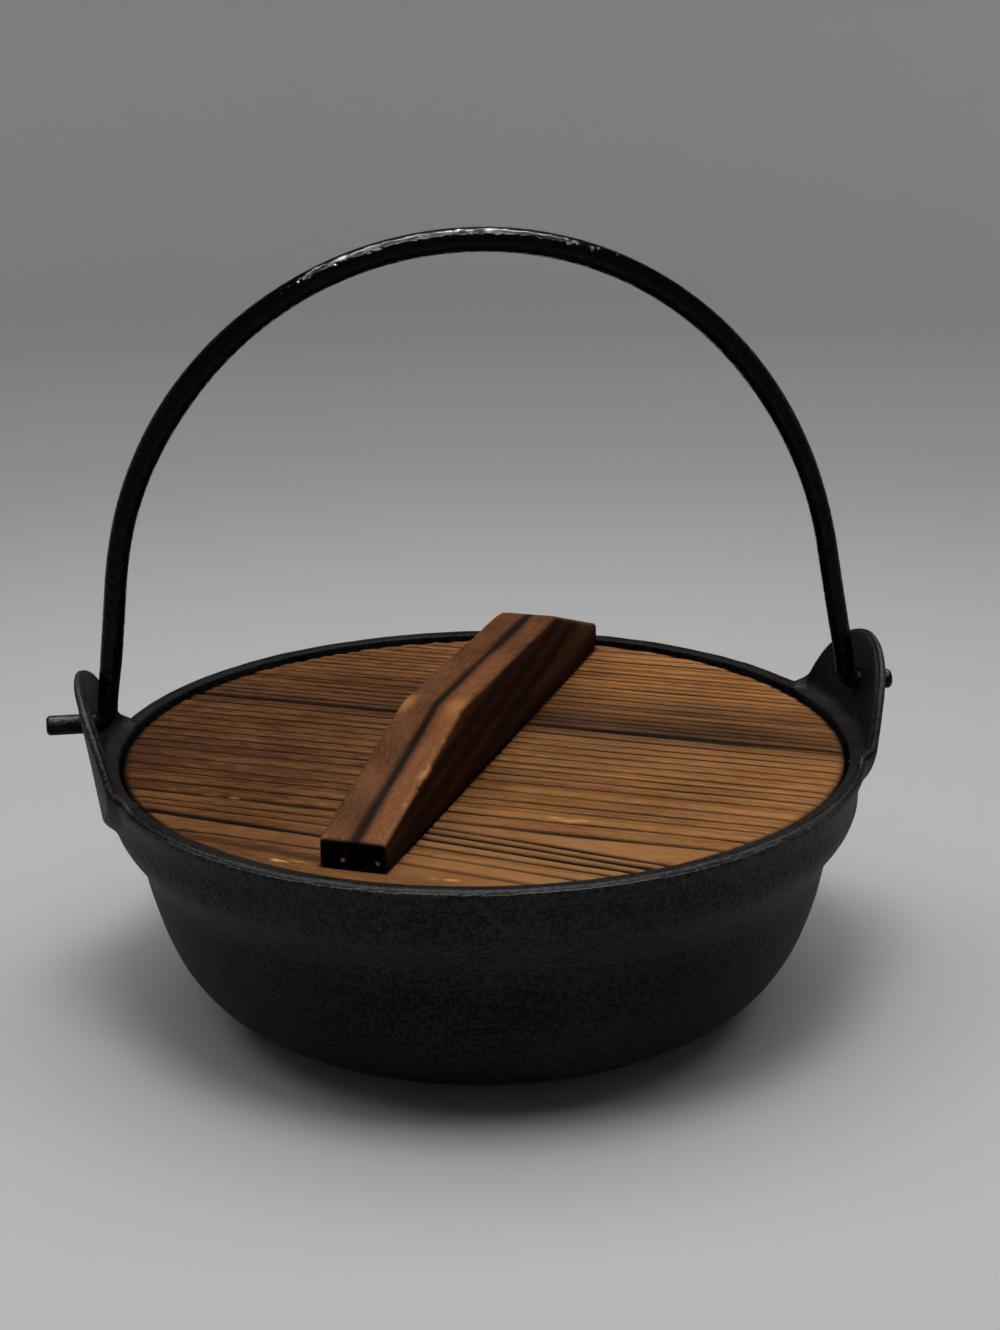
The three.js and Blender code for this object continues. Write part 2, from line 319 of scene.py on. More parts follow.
@dataclass(frozen=True)
class CastIron:
    """Sand-cast grey iron under a thin baked black coat.

    The eye sees near-black with a weak, broad sheen, a crinkled sandy grain of 1 to 2 mm that is
    coarse on the band and finer on the bowl, pits that stay black, brown where the coat is thin,
    grey on worn edges, and a painted grey highlight on the rim's outer top. The grain is drawn a
    little coarser than sand.
    """

    coat: str = "#020203"
    grain: str = "#29292c"
    worn: str = "#5b5b5a"
    rusty: str = "#20150e"
    speck: str = "#77746c"
    sand_size: float = 1.4
    lump_size: float = 5.0
    cloud_size: float = 34.0
    bump_height: float = 1.0

    def build(self) -> Material:
        """Makes the material, which reads the attributes coarse, worn and rusty."""
        material, add, (place, coarse, worn, rusty) = new_material(
            "Cast iron, black coat", "coarse", "worn", "rusty")
        noises = (self.sand_size, 2.0, 0.6), (self.lump_size, 2.0, 0.5), (self.cloud_size, 3.0, 0.5)
        sand, lumps, cloud = (
            add("TexNoise", {"Vector": place, "Scale": 1 / (size * MM), "Detail": detail, "Roughness": rough})
            for size, detail, rough in noises)
        steps = ((sand, 0.40, 0.58, "SMOOTHSTEP"), (lumps, 0.3, 0.7, "SMOOTHSTEP"),
                 (sand, 0.70, 0.76, "LINEAR"), (lumps, 0.62, 0.68, "LINEAR"))
        rise, patch, fleck, rare = (
            add("MapRange", {"Value": noise, "From Min": low, "From Max": high}, interpolation_type=kind)
            for noise, low, high, kind in steps)

        # Grains catch a little more light than the pits do, and coarse parts have more grain and sheen.
        depth, base, sheen = (add("Math", {0: coarse, 1: share, 2: least}, operation="MULTIPLY_ADD")
                              for share, least in ((0.5, 0.2), (0.18, 0.13), (0.1, 0.01)))
        level = add("Math", {0: rise, 1: 0.35}, operation="SUBTRACT")
        level = add("Math", {0: level, 1: depth, 2: base}, operation="MULTIPLY_ADD")
        dust = add("Math", {0: cloud, 1: 0.5}, operation="SUBTRACT")
        level = add("Math", {0: dust, 1: 0.9, 2: level}, operation="MULTIPLY_ADD", use_clamp=True)

        # Specks lie where two noises are high at once, and worn places show their grain; on the rim's
        # outer top the worn colour is a painted highlight.
        bare = add("Math", {0: rise, 1: 0.6, 2: 0.4}, operation="MULTIPLY_ADD")
        colour = add("Mix", {"Factor": level, "A": linear(self.coat), "B": linear(self.grain)},
                     data_type="RGBA")
        for one, other, shade in ((patch, rusty, self.rusty), (fleck, rare, self.speck),
                                  (bare, worn, self.worn)):
            both = add("Math", {0: one, 1: other}, operation="MULTIPLY", use_clamp=True)
            colour = add("Mix", {"Factor": both, "A": colour, "B": linear(shade)}, data_type="RGBA")

        rough = add("Math", {0: dust, 1: 0.3, 2: 0.52}, operation="MULTIPLY_ADD")
        height = add("Math", {0: lumps, 1: 0.4, 2: sand}, operation="MULTIPLY_ADD")
        height = add("Math", {0: height, 1: depth}, operation="MULTIPLY")
        normal = add("Bump", {"Height": height, "Distance": self.bump_height * MM, "Strength": 1.0})
        surface = add("BsdfPrincipled", {"Base Color": colour, "Roughness": rough, "Normal": normal,
                                         "Specular IOR Level": sheen})
        add("OutputMaterial", {"Surface": surface})
        return material


@dataclass(frozen=True)
class GlossPaint:
    """Round steel bar dipped in gloss black enamel.

    The eye sees a black line with thin, bright reflections that break up over the paint's slight
    orange peel, and duller pins and elbows, where the lugs rub the gloss away.
    """

    paint: str = "#040405"
    peel_size: float = 1.5
    dull_size: float = 9.0
    bump_height: float = 0.3
    sheen: float = 0.09

    def build(self) -> Material:
        """Makes the material, which reads the attribute rubbed."""
        material, add, (place, rubbed) = new_material("Steel rod, gloss black enamel", "rubbed")
        peel, dull = (add("TexNoise", {"Vector": place, "Scale": 1 / (size * MM), "Detail": detail})
                      for size, detail in ((self.peel_size, 0.0), (self.dull_size, 2.0)))
        rough = add("Math", {0: dull, 1: 0.05, 2: 0.02}, operation="MULTIPLY_ADD")
        rough = add("Math", {0: rubbed, 1: 0.4, 2: rough}, operation="MULTIPLY_ADD")
        normal = add("Bump", {"Height": peel, "Distance": self.bump_height * MM, "Strength": 1.0})
        surface = add("BsdfPrincipled", {"Base Color": linear(self.paint), "Roughness": rough,
                                         "Normal": normal, "Specular IOR Level": self.sheen})
        add("OutputMaterial", {"Surface": surface})
        return material


@dataclass(frozen=True)
class ScorchedCedar:
    """Cedar board, scorched and brushed, so that its dark rings are cut deep and its soft wood glows.

    The eye sees tan to brown strips with fine fibre streaks, near-black lines between them, smoky
    clouds, black char at the ends, a few torn pale chips, two painted glints in the chip colour on
    the crossbar's end, and next to no gloss. The fibres are drawn 0.6 mm wide, twice their real
    width, so that they show.
    """

    name: str
    pale: str
    deep: str
    turn: float
    line: str = "#0c0502"
    smoke: str = "#2c190f"
    char: str = "#020101"
    chip: str = "#c8925a"
    fibre_size: float = 0.6
    mottle_size: float = 6.0
    bump_height: float = 0.35
    sheen: float = 0.012

    def build(self) -> Material:
        """Makes the material, which reads the attributes groove, smoke, char, chip and tone."""
        material, add, (place, groove, smoke, char, chip, tone) = new_material(
            self.name, "groove", "smoke", "char", "chip", "tone")
        grain = add("Mapping", {"Vector": place, "Rotation": (0, 0, radians(self.turn))})
        noises = (0.1, self.fibre_size, 0.65), (0.4, self.mottle_size, 0.6)
        fibre, mottle = (
            add("TexNoise", {"Vector": add("Mapping", {"Vector": grain, "Scale": (stretch, 1, 1)}),
                             "Scale": 1 / (size * MM), "Detail": 4.0, "Roughness": rough})
            for stretch, size, rough in noises)

        # The tone moves between pale and deep wood with the fibres and with soft clouds.
        level = add("Math", {0: mottle, 1: 0.5}, operation="SUBTRACT")
        level = add("Math", {0: level, 1: 0.55, 2: tone}, operation="MULTIPLY_ADD")
        fine = add("Math", {0: fibre, 1: 0.5}, operation="SUBTRACT")
        level = add("Math", {0: fine, 1: 1.5, 2: level}, operation="MULTIPLY_ADD", use_clamp=True)
        colour = linear(self.pale)
        for share, shade in ((level, self.deep), (smoke, self.smoke), (groove, self.line),
                             (chip, self.chip), (char, self.char)):
            colour = add("Mix", {"Factor": share, "A": colour, "B": linear(shade)}, data_type="RGBA")

        rough = add("Math", {0: fibre, 1: 0.2, 2: 0.52}, operation="MULTIPLY_ADD")
        normal = add("Bump", {"Height": fibre, "Distance": self.bump_height * MM, "Strength": 1.0})
        surface = add("BsdfPrincipled", {"Base Color": colour, "Roughness": rough, "Normal": normal,
                                         "Specular IOR Level": self.sheen})
        add("OutputMaterial", {"Surface": surface})
        return material


# ---- pot


@dataclass
class Pot:
    """The cast iron pot: bowl, band, rim, both lugs, the lid's recess and ledge, and the cavity."""

    height: float = 88.0
    base_radius: float = 48.0
    base_thickness: float = 5.0
    wall: float = 4.2
    recess_radius: float = 120.0
    rim_radius: float = 126.0
    band_radius: float = 123.6
    band_height: float = 76.0
    crease_radius: float = 115.0
    crease_height: float = 59.5
    throat_radius: float = 114.0
    ledge_height: float = 74.2
    parting_height: float = 63.0
    lug_foot: float = 66.0
    lug_radius: float = 42.0
    lug_centre: float = 76.5
    lug_thickness: float = 4.2
    lug_inner: float = 126.7
    lug_lean: float = 0.14
    lug_edge: float = 1.6
    foot_radius: float = 50.6
    foot_centre: float = 118.0
    foot_round: float = 7.0
    foot_proud: float = 0.6
    root_fillet: float = 3.0
    corner_fillet: float = 7.0
    bore_radius: float = 3.8
    columns: int = 500

    def angles(self) -> Array:
        """Angles of the columns, closer together on the lugs and most at their edges.

        The density is 1 + 4 exp(-((s - e) / w)^2), and 0.4 more on a lug, where s is the distance
        to the pins' axis, e a lug's edge and w a width. It is summed and inverted.

        Returns:
            Angles in radians, from 0 to just under a full turn.
        """
        fine = np.linspace(0, 2 * np.pi, 20001)
        across, edge, width = np.abs(np.sin(fine)) * self.rim_radius, 41, 4.5
        density = 1 + 4 * bump(across, edge, width) + 0.4 * (across < edge + 3)
        total = np.concatenate([[0], np.cumsum(0.5 * (density[1:] + density[:-1]))])
        return np.interp(np.arange(self.columns) / self.columns * total[-1], total, fine)

    def bowl(self, floor: float, inset: float, count: int) -> Array:
        """The bowl's curve, from its flat at the height floor to its crease, further in by inset."""
        crease = self.crease_radius - inset
        reach = crease - self.base_radius
        return bezier([(self.base_radius, floor), (self.base_radius + 0.69 * reach, floor),
                       (crease - 0.12 * reach, floor + 0.24 * self.crease_height),
                       (crease, self.crease_height)], count)

    def band_profile(self, height: Array) -> Array:
        """Radius of the plain outside at a height, from the bowl's foot to the rim and above.

        It runs along Bezier curves, and the crease is softened by the mean over 8 mm of height.

        Args:
            height: heights above the base.

        Returns:
            Radii from the pot's axis.
        """
        crease, low, band, rim = self.crease_radius, self.crease_height, self.band_radius, self.rim_radius
        belly, flare = self.band_height - low, rim - band
        swell = bezier([(crease, low), (crease + 0.6 * (band - crease), low + 0.25 * belly),
                        (band, low + 0.52 * belly), (band, self.band_height)], 80)
        lip = bezier([(band, self.band_height), (band + 0.05 * flare, self.height - 7),
                      (rim - 0.35 * flare, self.height - 5), (rim, self.height - 2.2)], 40)
        path = np.vstack([self.bowl(0, 0, 240), swell[1:], lip[1:], [[rim, self.height], [rim + 7, 140]]])
        radii, heights = path.T
        softened = smooth(height, 44, 52) * (1 - smooth(height, 66, 72))
        rounded = np.mean([np.interp(height + d, heights, radii) for d in np.linspace(-4, 4, 9)], axis=0)
        plain = np.interp(height, heights, radii)
        return plain + (rounded - plain) * softened

    def lug_middle(self, height: Array) -> Array:
        """Radius of the middle of a lug's plate at a height."""
        return self.lug_inner + self.lug_thickness / 2 + self.lug_lean * (height - PIN_LEVEL)

    def face(self, angle: Array, height: Array, side: int) -> Array:
        """Radius of the casting's outer face, or of the inner face of a plate as thick as a lug.

        The outer face is the band or, where larger, the lug's face, lowered towards the foot's arc
        by round - sqrt(round^2 - (round - d)^2) at a distance d inside the arc. The plate's edge
        is rounded towards the outline as a quarter circle.

        Args:
            angle: angles about Z.
            height: heights above the base.
            side: 1 for the outer face, -1 for the inner one.

        Returns:
            Radii from the pot's axis.
        """
        middle, half = self.lug_middle(height), self.lug_thickness / 2
        inside = self.foot_radius - np.hypot(middle * np.sin(angle), height - self.foot_centre)
        short = np.clip(self.foot_round - inside, 0, self.foot_round)
        drop = self.foot_round - np.sqrt(self.foot_round**2 - short**2)
        lug = np.where(inside > 0, middle + half + np.minimum(self.foot_proud - drop, 0), middle - 30)
        short = self.lug_edge - np.clip(self.depth(angle, height), 0, self.lug_edge)
        rounded = half - self.lug_edge + np.sqrt(self.lug_edge**2 - short**2)
        return blend_max(self.band_profile(height), lug, 1.6) - half + side * rounded

    def depth(self, angle: Array, height: Array) -> Array:
        """How far inside the upper outline a point lies, negative outside it.

        The outline is the rim's plane and the lug's disc, joined by a fillet.

        Args:
            angle: angles about Z.
            height: heights above the base.

        Returns:
            Distances.
        """
        disc = self.lug_radius - np.hypot(self.lug_middle(height) * np.sin(angle), height - self.lug_centre)
        disc = np.where(np.abs(np.sin(angle)) < 0.6, disc, -60)
        return blend_max(self.height - height, disc, self.corner_fillet)

    def top(self, angle: Array) -> Array:
        """Height of the upper outline at each angle, found by halving the interval that holds it."""
        low, high = np.full(angle.shape, self.height - 1), np.full(angle.shape, self.height + 40)
        for _ in range(40):
            middle = (low + high) / 2
            within = self.depth(angle, middle) > 0
            low, high = np.where(within, middle, low), np.where(within, high, middle)
        return low

    def skin(self) -> Array:
        """The pot's skin, from the middle of its underside over the rim to the middle of its floor.

        The casting's outside moves in by 0.14 (1 + ripple of 40 mm) + 0.08 (1 + ripple of 9 mm) +
        0.22, less up to 0.3 on the ridge at the mould's parting line. The rim's top is lowered by
        0.12 (1 + ripple of 14 mm).

        Returns:
            Positions as row, column, coordinate.
        """
        angle = self.angles()
        top = self.top(angle)
        under = [(radius, 0) for radius in np.linspace(3, self.base_radius, 6)[:-1]]
        rise = bezier([(0, 0), (0.1, 0), (0.55, 0.5), (1, 1)], 46)[:, 1] * self.lug_foot
        near = (2.3, 1.7, 1.25, 0.85, 0.55, 0.32, 0.15, 0.05, 0)
        heights = [self.lug_foot + (top - near[0] - self.lug_foot) * s for s in np.linspace(0, 1, 31)[1:-1]]
        outside = [(self.band_profile(height), height) for height in rise]
        heights += [top - down for down in near]
        outside += [(self.face(angle, height, 1), height) for height in heights]
        parts = under + outside + self.inner_rows(angle, top) + self.cavity()
        radius, height = (np.stack([part[k] * np.ones_like(angle) for part in parts]) for k in (0, 1))
        skin = joined(radius * np.cos(angle), radius * np.sin(angle), height)

        row = np.arange(len(parts))[:, None] - len(under)
        inward = 0.14 * (1 + ripple(skin, 40, 11)) + 0.08 * (1 + ripple(skin, 9, 12))
        ridge = bump(height, self.parting_height, 0.45) * (0.6 + 0.4 * ripple(skin, 50, 13))
        inward = (inward + 0.22 - 0.3 * ridge) * ((row >= 0) & (row <= len(outside))) * smooth(height, 0.5, 8)
        lower = 0.12 * (1 + ripple(skin, 14, 14)) * smooth(height, self.height - 1.2, self.height)
        skin[..., :2] -= skin[..., :2] / np.maximum(radius, 1)[..., None] * inward[..., None]
        skin[..., 2] -= lower * (radius > self.recess_radius + 0.3)
        return skin

    def inner_rows(self, angle: Array, top: Array) -> list:
        """Rows from the top edge down the lug's inner face, over its fillet and the rim's land.

        A dense path is made for every column, and points are taken at equal steps of its length,
        in which the rounded edge counts three times.

        Args:
            angle: the columns' angles.
            top: the outline's height at each angle.

        Returns:
            Pairs of radius and height for each row.
        """
        count, dense, edge = 34, 60, 14
        rise = np.clip(top - self.height, 0, None)
        height = top - np.linspace(0, 1, dense)[:, None] ** 1.8 * rise
        fillet = np.minimum(self.root_fillet, 0.8 * rise)
        short = np.clip(fillet - np.clip(height - self.height, 0, None), 0, None)
        face = self.face(angle, height, -1) - (fillet - np.sqrt(np.clip(fillet**2 - short**2, 0, None)))
        share = np.linspace(0, 1, 14)[1:, None]
        land = face[-1] + (self.recess_radius + 0.6 - face[-1]) * share
        radius = np.vstack([face, land])
        height = np.vstack([height, self.height - 0.25 * share**2 + 0 * land])
        steps = np.hypot(np.diff(radius, axis=0), np.diff(height, axis=0)) + 1e-7
        steps[:edge] *= 3
        length = np.vstack([0 * angle, np.cumsum(steps, axis=0)])
        # All columns are read in one go: each has its own stretch of lengths, two apart.
        column = np.arange(len(angle)) * 2.0
        stretch = (length / length[-1] + column).T.ravel()
        return [tuple(np.interp(at + column, stretch, v.T.ravel()) for v in (radius, height))
                for at in np.linspace(0, 1, count)]

    def cavity(self) -> list:
        """Rows of radius and height from the recess's edge down to the middle of the floor."""
        inner, ledge = self.crease_radius - self.wall, self.ledge_height
        throat = bezier([(self.throat_radius + 0.3, ledge - 0.4), (self.throat_radius - 1, 71),
                         (inner, ledge - 6), (inner, self.crease_height)], 6)
        return [
            (self.recess_radius + 0.2, self.height - 0.45), (self.recess_radius, self.height - 1.0),
            *((self.recess_radius, h) for h in np.linspace(self.height - 3, ledge + 0.6, 6)),
            (self.recess_radius - 0.4, ledge), (self.throat_radius + 1, ledge), *throat,
            *self.bowl(self.base_thickness, self.wall, 16)[-2::-1],
            *((radius, self.base_thickness) for radius in (36.0, 24.0, 12.0, 3.0)),
        ]

    def build(self) -> None:
        """Makes the pot and cuts the pins' bores."""
        pot = tube("iron_pot", self.skin())
        turn = np.linspace(0, 2 * np.pi, 48, endpoint=False)
        for side in (-1, 1):
            ends = side * np.array([[124.0], [136.0]])
            ring = joined(ends, self.bore_radius * np.cos(turn), PIN_LEVEL + self.bore_radius * np.sin(turn))
            boolean(pot, tube("bore", ring), Join.CUT)
        self.dress(pot)
        hand_over(pot, CastIron().build(), Body.POT, "pot_body")

    def dress(self, pot: Object) -> None:
        """Writes where the casting is coarse, worn and rusty.

        Worn are the rim's outer top, most at the front, where the worn colour is a painted highlight
        as well as wear, the lugs' edges and the parting line away from the front. Rusty are the lugs'
        inner faces, most on the left.

        Args:
            pot: the pot's object.
        """
        where = positions(pot)
        x, y, height = where.T
        radius = np.hypot(x, y)
        on_lug = smooth(height, self.height - 1, self.height + 3)
        band = smooth(height, self.crease_height - 14, self.crease_height + 4)
        land = (radius < self.rim_radius - 0.6) & (height > self.height - 1.1)
        land |= (radius < self.recess_radius + 0.5) & (height > self.ledge_height)
        inner = (radius < self.lug_middle(height)) & (radius > self.recess_radius)
        coarse = (0.5 + 0.5 * band - 0.35 * on_lug) * (1 - 0.9 * land * (1 - on_lug))
        coarse *= 1 - 0.7 * inner * on_lug
        # The rim's outer top gets the worn colour, most at the front: a painted highlight, partly wear.
        rim_highlight_and_wear = smooth(height, self.height - 1.1, self.height - 0.5) * (1 - smooth(height, 88.5, 90))
        rim_highlight_and_wear *= smooth(radius, self.rim_radius - 3.2, self.rim_radius - 2.2)
        edge = smooth(-self.depth(np.arctan2(y, np.abs(x)), height), -1.6, 0) * on_lug
        seam = bump(height, self.parting_height, 0.55) * (radius > self.crease_radius - 1)
        seam *= smooth(ripple(where, 45, 15), -0.5, 0.5) * (1 - smooth(-y, 70, 116))
        front = 0.12 + 0.88 * smooth(-y, 45, 105)
        rusty = inner * smooth(height, self.height - 1, self.height + 1) * (1 - smooth(height, 100, 116))
        paint(pot, coarse=coarse, worn=np.clip(0.24 * rim_highlight_and_wear * front + 0.1 * edge + 0.3 * seam, 0, 1),
              rusty=rusty * np.where(x < 0, 1, 0.15))


# ---- bail


@dataclass
class Bail:
    """The arched handle: one round rod, thicker at its crown, with an elbow and a pin at each end."""

    leg_half_span: float = 122.2
    leg_draw_in: float = 5.7
    arch_shift: float = -1.2
    spring_height: float = 45.7
    crown_height: float = 151.7
    crown_fullness: float = 0.53
    shoulder_fullness: float = 0.55
    elbow_radius: float = 5.0
    lug_outer: float = 130.9
    left_reach: float = 11.2
    right_reach: float = 7.2
    leg_radius: float = 3.2
    crown_radius: float = 3.9
    left_swell: float = 0.36
    right_swell: float = 0.15
    chamfer: float = 0.8
    steps: int = 170
    around: int = 48

    def half(self, reach: float, shift: float) -> Array:
        """Half of the middle line in the XZ plane, from the crown to the end of a pin.

        Args:
            reach: how far the pin stands out of the lug.
            shift: how far the arch stands off to this side.

        Returns:
            Points of X and height above the pins' axis at equal steps, one in each row.
        """
        leg, foot = self.leg_half_span, self.elbow_radius
        spring, crown = self.spring_height, self.crown_height
        span = leg - self.leg_draw_in + shift
        slope = (self.leg_draw_in - shift) / (spring - foot)
        shoulder = self.shoulder_fullness * (crown - spring)
        arch = bezier([(shift, crown), (shift + self.crown_fullness * (span - shift), crown),
                       (span - slope * shoulder, spring + shoulder), (span, spring)], 200)
        blend = bezier([arch[-1], arch[-1] - np.array([-slope, 1]) * 14, (leg, foot + 3), (leg, foot)], 60)
        elbow = quarter(leg + foot, foot, foot, pi, 24)
        path = np.vstack([arch, blend[1:], elbow[1:], [[self.lug_outer + reach, 0]]])
        length = np.concatenate([[0], np.cumsum(np.linalg.norm(np.diff(path, axis=0), axis=1))])
        at = np.linspace(0, length[-1], self.steps)
        return joined(*(np.interp(at, length, coordinate) for coordinate in path.T))

    def build(self) -> None:
        """Makes the bail: a circle carried along the middle line.

        A ring's point is c + r(h) (n cos a + y sin a), where n is the normal in the XZ plane and
        the radius r(h) grows from the legs to the crown as a smooth step of the height. The hand
        forged legs are thicker above their elbows, on the inner side, the left one more.
        """
        right = self.half(self.right_reach, self.arch_shift)
        left = self.half(self.left_reach, -self.arch_shift) * np.array([-1, 1])
        line = np.vstack([left[::-1], right[1:]])
        ahead = np.gradient(line, axis=0)
        ahead /= np.linalg.norm(ahead, axis=1, keepdims=True)
        x, height = line.T
        swell = 0.55 * smooth(height, 60, 110) + 0.45 * smooth(height, self.spring_height, self.crown_height)
        thicker = np.where(x < 0, self.left_swell, self.right_swell) * smooth(height, 5, 25)
        radius = self.leg_radius + (self.crown_radius - self.leg_radius) * swell
        radius = radius + thicker * (1 - smooth(height, 100, 140))
        line[:, 0] -= np.sign(x) * thicker * (1 - smooth(height, 50, 80))
        line = np.vstack([line[0], line[0] + ahead[0] * self.chamfer, line[1:-1],
                          line[-1] - ahead[-1] * self.chamfer, line[-1]])
        ahead = np.vstack([ahead[:1], ahead, ahead[-1:]])
        radius = np.concatenate([[radius[0] - self.chamfer], radius, [radius[-1] - self.chamfer]])
        turn = np.linspace(0, 2 * np.pi, self.around, endpoint=False)
        out, across = radius[:, None] * np.cos(turn), radius[:, None] * np.sin(turn)
        bail = tube("painted_bail", joined(
            line[:, :1] - ahead[:, 1:] * out, across, PIN_LEVEL + line[:, 1:] + ahead[:, :1] * out))
        x, _, height = positions(bail).T
        paint(bail, rubbed=smooth(np.abs(x), 119, 126) * (1 - smooth(height, PIN_LEVEL + 4, PIN_LEVEL + 9)))
        hand_over(bail, GlossPaint().build(), Body.BAIL, "bail")


# ---- lid


@dataclass(frozen=True)
class RingLine:
    """One dark ring line of a board: where it lies, how wide and dark it is, and how it runs."""

    at: float
    width: float
    strength: float
    slope: float
    seed: int
    sway: float = 0.3
    taper: float = 0.0
    start: float = -200.0
    end: float = 200.0

    def middle(self, along: Array) -> Array:
        """The line's place across the grain at each place along it."""
        return self.at + self.slope * along + self.sway * wander(along, 70, self.seed)

    def force(self, along: Array) -> Array:
        """The line's strength at each place along it, which fades over 6 mm at its start and end."""
        begun = smooth(along, self.start - 6, self.start)
        return self.strength * begun * (1 - smooth(along, self.end, self.end + 6))

    def spread(self, along: Array) -> Array:
        """The line's width at each place along it, which swells and thins."""
        swell = 1 + 0.3 * wander(along, 45, self.seed + 500)
        return self.width * swell * np.clip(1 + self.taper * along / 100, 0.25, 3)


@dataclass(frozen=True)
class Chip:
    """A torn pale patch on a board: its middle, and half its length and width."""

    x: float
    y: float
    length: float
    width: float


def settle(piece: Object) -> None:
    """Turns a piece of the lid about Z and raises it to the height of the lid's underside."""
    place = Matrix.Translation((0, 0, LID_BOTTOM * MM)) @ Matrix.Rotation(radians(LID_TURN), 4, "Z")
    piece.data.transform(place)


@dataclass
class Board:
    """One cedar board of the lid, in the lid's own frame: grain along x, joints across y."""

    name: str
    low: float
    high: float
    seed: int
    pale: str
    deep: str
    chips: tuple
    extra: tuple = ()
    pitch_low: float = 0.0
    pitch_high: float = 0.0
    tone: float = 0.85
    thickness: float = 12.0
    relief: float = 0.8
    spacing: float = 0.33
    along: int = 84

    def lines(self) -> list[RingLine]:
        """Ring lines from one joint to the other, at a spacing that changes, with a faint one after each."""
        rng, faint_rng = np.random.default_rng(self.seed), np.random.default_rng(self.seed + 60)
        lines, at = [], self.low + 1.2
        while self.pitch_low and at < self.high - 1.0:
            share, seed = (at - self.low) / (self.high - self.low), self.seed * 100 + len(lines) // 2
            lines.append(RingLine(at, rng.uniform(0.74, 0.98),
                                  rng.choice([0.72, 0.86, 1.0], p=[0.3, 0.4, 0.3]),
                                  rng.normal(0, 0.002), seed, sway=0.35))
            step = (self.pitch_low + (self.pitch_high - self.pitch_low) * share) * rng.uniform(0.72, 1.28)
            lines.append(RingLine(at + step * faint_rng.uniform(0.4, 0.6), faint_rng.uniform(0.35, 0.5),
                                  faint_rng.uniform(0.1, 0.4), 0.0, seed, sway=0.35))
            at += step
        return lines + list(self.extra)

    def grooves(self, x: Array, y: Array) -> tuple[Array, Array]:
        """Depth and darkness of the ring lines at points of the board's face.

        The depth is the largest exp(-(d / 1.1 w)^2), and 0.16 exp(-(d / 1.9)^2) more for each
        line, where d is the distance to it and w its width. The darkness is the largest of the
        lines' own flat-topped bells, exp(-(d / w)^4).

        Args:
            x: places along the grain.
            y: places across it.

        Returns:
            Depth from 0 to about 1.3, and darkness from 0 to 1.
        """
        depth, dark = 0 * x, 0 * x
        for line in self.lines():
            width, force, away = line.spread(x), line.force(x), y - line.middle(x)
            dark = np.maximum(dark, force * bump(away, 0, width, 4))
            depth = np.maximum(depth, force * bump(away, 0, 1.1 * width))
            depth += 0.16 * (force > 0) * bump(away, 0, 1.9)
        return depth, dark

    def face(self, x: Array, y: Array) -> Array:
        """Height of the board's upper face, rounded down at the lid's rim and at the joints.

        Args:
            x: places along the grain.
            y: places across it.

        Returns:
            Heights above the lid's underside.
        """
        depth, _ = self.grooves(x, y)
        to_edge = LID_RADIUS - np.hypot(x, y)
        to_joint = np.minimum(y - self.low, self.high - y)
        deeper = 1 + (1 - smooth(to_edge, 0, 4))
        fall = 0.4 * (1 - smooth(to_edge, 0, 0.9)) + 0.45 * (1 - smooth(to_joint, 0, 0.9))
        uneven = 0.12 * (1 + ripple(joined(x, y, 0), 60, self.seed))
        return self.thickness - np.clip(self.relief * depth * deeper, 0, 2.2) - fall - uneven

    def build(self, crossbar: "Crossbar") -> None:
        """Makes the board: a closed loop round its section along the grain, carried across it.

        At a place y across the grain the half length is sqrt(R^2 - y^2). The loop runs along the
        upper face, down one edge, back under the board and up the other edge.

        Args:
            crossbar: the crossbar, whose housing is cut out of the board.
        """
        tip = LID_RADIUS - 0.05
        low, high = max(self.low, -tip), min(self.high, tip)
        inner = np.linspace(low + 0.35, high - 0.35, int((high - low) / self.spacing))
        near = np.array([0.0, 0.08, 0.2])
        y = np.concatenate([low + near, inner, high - near[::-1]])[:, None]
        half = np.sqrt(np.clip(LID_RADIUS**2 - y**2, 0, None))
        s = np.linspace(-1, 1, self.along)
        x_top = half * (np.sign(s) * (1 - (1 - np.abs(s)) ** 1.25))
        z_top = self.face(x_top, np.broadcast_to(y, x_top.shape))
        edge_levels, under = np.array([0.75, 0.4, 0.08]), np.linspace(0.985, -0.985, 9)
        x_side = np.broadcast_to(half, (len(y), len(edge_levels)))
        x_low = half * under
        x = np.hstack([x_top, x_side, x_low, -x_side])
        z = np.hstack([z_top, z_top[:, -1:] * edge_levels, 0 * x_low, z_top[:, :1] * edge_levels[::-1]])
        board = tube(f"board_{self.name}", joined(x, y, z))
        boolean(board, crossbar.housing(), Join.CUT)
        self.dress(board)
        settle(board)
        cedar = ScorchedCedar(f"Scorched cedar, board_{self.name}", self.pale, self.deep, -LID_TURN)
        hand_over(board, cedar.build(), Body.LID, f"lid_board_{self.name}")

    def seam(self, x: Array, y: Array) -> Array:
        """Scorch along the joints, x along the grain and y across: bells whose width swells and thins."""
        width = 0.8 + 0.3 * wander(x, 60, self.seed + 40) + 1.3 * bump(x, -38, 17) + 1.1 * bump(x, 48, 18)
        return bump(np.minimum(y - self.low, self.high - y), 0, np.clip(width, 0.45, 2.2), 4)

